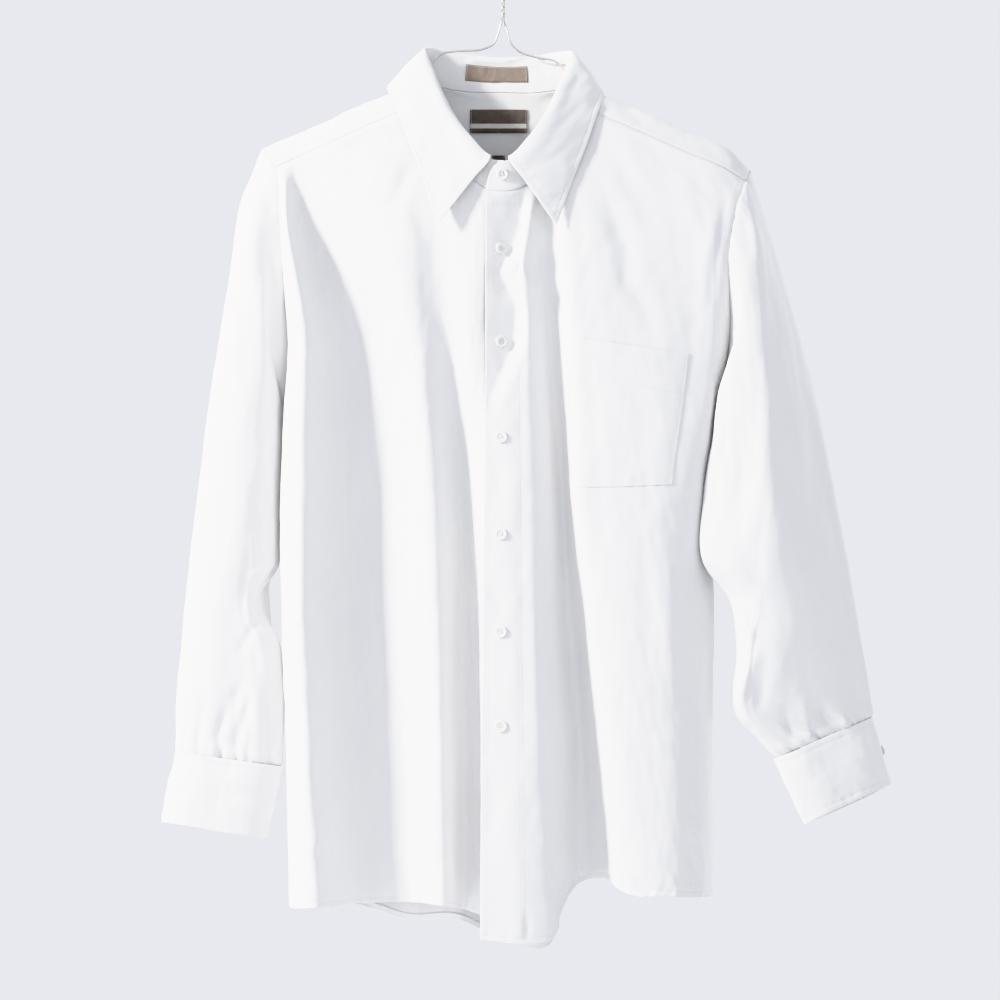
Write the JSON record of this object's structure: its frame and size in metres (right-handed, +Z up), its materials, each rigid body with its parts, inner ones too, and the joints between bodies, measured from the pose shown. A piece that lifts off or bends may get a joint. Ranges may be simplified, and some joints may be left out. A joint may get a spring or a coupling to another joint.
{
  "type": "dress shirt on wire hanger",
  "caption": "White long-sleeved dress shirt, buttoned to the neck, with chest pocket, softly creased, hanging on a twisted wire hanger.",
  "frame": {"origin": "inside top of the hanger's hook, where a rail holds it", "axes": "+Z up, -Y out of the shirt's front, +X towards the wearer's left sleeve"},
  "size_m": [0.6942, 0.1151, 0.982],
  "materials": {
    "shirting": "plain broadcloth, matt with a faint sheen",
    "button": "pearly white",
    "label_charcoal": "woven, bare of lettering",
    "label_taupe": "woven, bare of lettering",
    "hanger_wire": "galvanised wire"
  },
  "bodies": {
    "root": {"right_front": "shirting", "left_front": "shirting", "placket_band": "shirting", "back": "shirting", "yoke": "shirting", "sleeve_right": "shirting", "sleeve_left": "shirting", "cuff_right": "shirting", "cuff_left": "shirting", "sleeve_placket_right": "shirting", "sleeve_placket_left": "shirting", "collar_stand": "shirting", "collar_leaf": "shirting", "pocket": "shirting", "button_collar": "button", "button_front_1": "button", "button_front_2": "button", "button_front_3": "button", "button_front_4": "button", "button_front_5": "button", "button_front_6": "button", "button_cuff_right": "button", "button_cuff_left": "button", "label_stand": "label_taupe", "label_main": "label_charcoal", "label_size": "label_charcoal", "hanger": "hanger_wire"}
  },
  "joints": []
}
